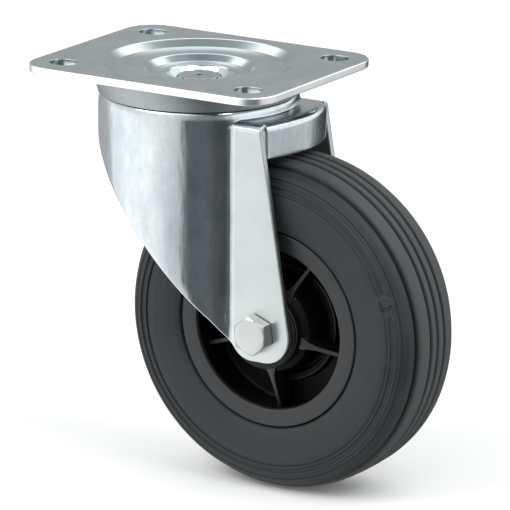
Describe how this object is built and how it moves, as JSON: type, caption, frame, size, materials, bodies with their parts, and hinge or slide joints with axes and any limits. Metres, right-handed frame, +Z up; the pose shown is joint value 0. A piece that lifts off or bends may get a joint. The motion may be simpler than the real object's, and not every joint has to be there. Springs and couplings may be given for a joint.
{
  "type": "swivel castor",
  "caption": "Swivel castor for the foot of a gate: pressed top plate, pressed swivel fork on a double ball ring, and a grooved rubber tyre on a ribbed plastic rim.",
  "frame": {"origin": "on the swivel axis, in the mounting face of the top plate", "axes": "+Z up, out of the mounting face; +X towards the trailing wheel; Y along the axle, with the bolt head on the -Y side"},
  "size_m": [0.1555, 0.085, 0.155],
  "materials": {
    "zinc": "bright zinc plating on pressed steel, smooth with a faint mottle",
    "zinc_dull": "dull grey zinc plating",
    "steel": "bare hardened steel, polished and oiled",
    "tyre_rubber": "dark grey moulded rubber, matt",
    "rim_plastic": "black moulded plastic, satin",
    "bearing_plastic": "grey moulded plastic"
  },
  "bodies": {
    "plate": {"top_plate": "zinc", "dust_ring": "zinc_dull", "king_pin": "zinc", "lower_race": "zinc"},
    "upper_balls": {"upper_ball_01": "steel", "upper_ball_02": "steel", "upper_ball_03": "steel", "upper_ball_04": "steel", "upper_ball_05": "steel", "upper_ball_06": "steel", "upper_ball_07": "steel", "upper_ball_08": "steel", "upper_ball_09": "steel", "upper_ball_10": "steel", "upper_ball_11": "steel", "upper_ball_12": "steel", "upper_ball_13": "steel", "upper_ball_14": "steel", "upper_ball_15": "steel", "upper_ball_16": "steel", "upper_ball_17": "steel", "upper_ball_18": "steel", "upper_ball_19": "steel", "upper_ball_20": "steel", "upper_ball_21": "steel", "upper_ball_22": "steel", "upper_ball_23": "steel", "upper_ball_24": "steel"},
    "lower_balls": {"lower_ball_01": "steel", "lower_ball_02": "steel", "lower_ball_03": "steel", "lower_ball_04": "steel", "lower_ball_05": "steel", "lower_ball_06": "steel", "lower_ball_07": "steel", "lower_ball_08": "steel", "lower_ball_09": "steel", "lower_ball_10": "steel", "lower_ball_11": "steel", "lower_ball_12": "steel"},
    "fork": {"fork": "zinc", "axle_bolt": "zinc", "axle_washer": "zinc", "axle_nut": "zinc", "nut_insert": "bearing_plastic", "axle_sleeve": "steel"},
    "wheel": {"rim": "rim_plastic", "tyre": "tyre_rubber", "hub_cap_head_side": "rim_plastic", "hub_cap_nut_side": "rim_plastic"},
    "rollers": {"roller_cage": "bearing_plastic", "roller_1": "steel", "roller_2": "steel", "roller_3": "steel", "roller_4": "steel", "roller_5": "steel", "roller_6": "steel", "roller_7": "steel", "roller_8": "steel"}
  },
  "joints": [
    {"name": "swivel", "type": "hinge", "parent": "plate", "child": "fork", "pos_m": [0, 0, 0], "axis": [0, 0, 1], "continuous": true},
    {"name": "upper_ball_roll", "type": "hinge", "parent": "plate", "child": "upper_balls", "pos_m": [0, 0, 0], "axis": [0, 0, 1], "continuous": true},
    {"name": "lower_ball_roll", "type": "hinge", "parent": "plate", "child": "lower_balls", "pos_m": [0, 0, 0], "axis": [0, 0, 1], "continuous": true},
    {"name": "wheel_spin", "type": "hinge", "parent": "fork", "child": "wheel", "pos_m": [0.0405, 0, -0.0925], "axis": [0, 1, 0], "continuous": true},
    {"name": "roller_roll", "type": "hinge", "parent": "fork", "child": "rollers", "pos_m": [0.0405, 0, -0.0925], "axis": [0, 1, 0], "continuous": true}
  ],
  "couplings": [
    {"joint": "upper_ball_roll", "follows": "swivel", "ratio": 0.5},
    {"joint": "lower_ball_roll", "follows": "swivel", "ratio": 0.5},
    {"joint": "roller_roll", "follows": "wheel_spin", "ratio": 0.62}
  ]
}
